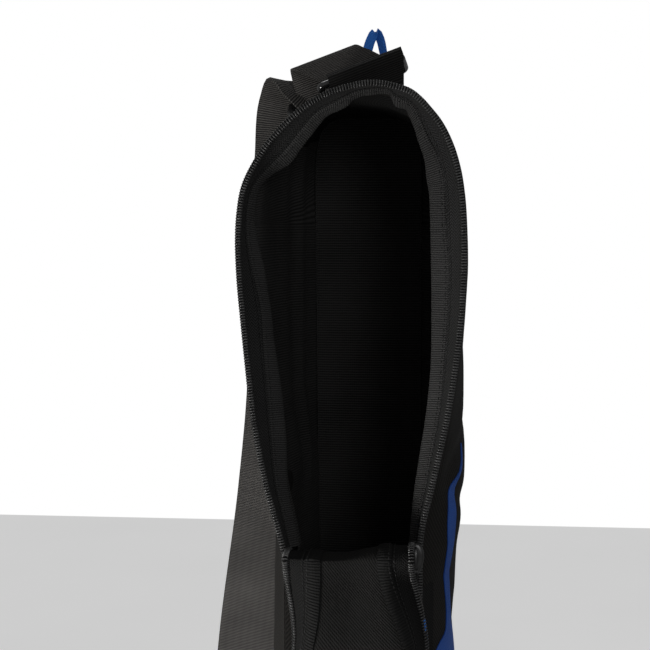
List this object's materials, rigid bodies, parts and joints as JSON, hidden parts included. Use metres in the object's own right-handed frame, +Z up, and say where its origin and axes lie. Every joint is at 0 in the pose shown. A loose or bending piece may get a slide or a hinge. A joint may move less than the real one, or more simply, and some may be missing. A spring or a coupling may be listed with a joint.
{
  "type": "hockey stick bag",
  "caption": "Tall black fabric hockey stick bag standing on its blade end, mouth unzipped, flap folded down, webbing shoulder strap behind.",
  "frame": {"origin": "centre of the flat base face", "axes": "+Z up along the bag's length to the butt end, -Y out of the mouth, +X to the right seen from the mouth"},
  "size_m": [0.2189, 0.3745, 1.704],
  "materials": {
    "shell_fabric": "matte twill",
    "lining_fabric": "matte ribbed",
    "binding": "ribbed grosgrain",
    "zipper_tape": "herringbone tape",
    "zipper_coil": "satin nylon coil",
    "webbing": "ribbed webbing",
    "slider_metal": "dark gunmetal",
    "ring_metal": "gloss black",
    "glide_plastic": "fine satin",
    "blue_ribbon": "woven ribbon",
    "blue_band": "coated fabric",
    "board": "matte"
  },
  "bodies": {
    "bag": {"back_panel": "shell_fabric", "base_board": "board", "base_panel": "shell_fabric", "flap_fold": "shell_fabric", "front_panel": "shell_fabric", "hang_loop": "blue_ribbon", "left_side_panel": "shell_fabric", "lining_back": "lining_fabric", "lining_front": "lining_fabric", "lining_left": "lining_fabric", "lining_right": "lining_fabric", "lining_top": "lining_fabric", "lower_patch": "shell_fabric", "lower_tab": "webbing", "mouth_zipper_coil": "zipper_coil", "mouth_zipper_tape": "zipper_tape", "panel_zipper_coil": "zipper_coil", "panel_zipper_tape": "zipper_tape", "right_side_panel": "shell_fabric", "rim_binding": "binding", "shoulder_strap": "webbing", "side_band_left": "blue_band", "side_band_right": "blue_band", "strap_end_loop": "webbing", "strap_lower_end": "webbing", "strap_triglide": "glide_plastic", "top_end_panel": "shell_fabric", "top_tab": "webbing", "zipper_bottom_stop": "slider_metal", "zipper_top_stop": "slider_metal"},
    "flap": {"flap_outer": "shell_fabric", "flap_lining": "lining_fabric", "flap_binding": "binding", "flap_zipper_tape": "zipper_tape", "flap_zipper_coil": "zipper_coil"},
    "slider": {"zipper_slider": "slider_metal"},
    "pull": {"slider_pull": "slider_metal", "pull_cord": "webbing", "pull_tip": "blue_ribbon"},
    "upper_ring": {"top_ring": "ring_metal"},
    "bottom_ring": {"lower_ring": "ring_metal"}
  },
  "joints": [
    {"name": "flap_hinge", "type": "hinge", "parent": "bag", "child": "flap", "pos_m": [0, -0.163, 1.366], "axis": [-1, 0, 0], "range_deg": [0, 176], "deforming": ["flap_fold"]},
    {"name": "zipper_slide", "type": "slide", "parent": "bag", "child": "slider", "axis": [0, 0, -1], "range_m": [0, 1.09]},
    {"name": "pull_hinge", "type": "hinge", "parent": "slider", "child": "pull", "pos_m": [0.03865, -0.1582, 1.358], "axis": [-1, 0, 0], "range_deg": [0, 150]},
    {"name": "top_ring_hinge", "type": "hinge", "parent": "bag", "child": "upper_ring", "pos_m": [-0.002, -0.06, 1.667], "axis": [0.9397, 0, 0.342], "range_deg": [0, 60], "deforming": ["strap_end_loop"]},
    {"name": "lower_ring_hinge", "type": "hinge", "parent": "bag", "child": "bottom_ring", "pos_m": [0, 0.11105, 0.5], "axis": [1, 0, 0], "range_deg": [0, 100], "deforming": ["strap_lower_end"]}
  ]
}
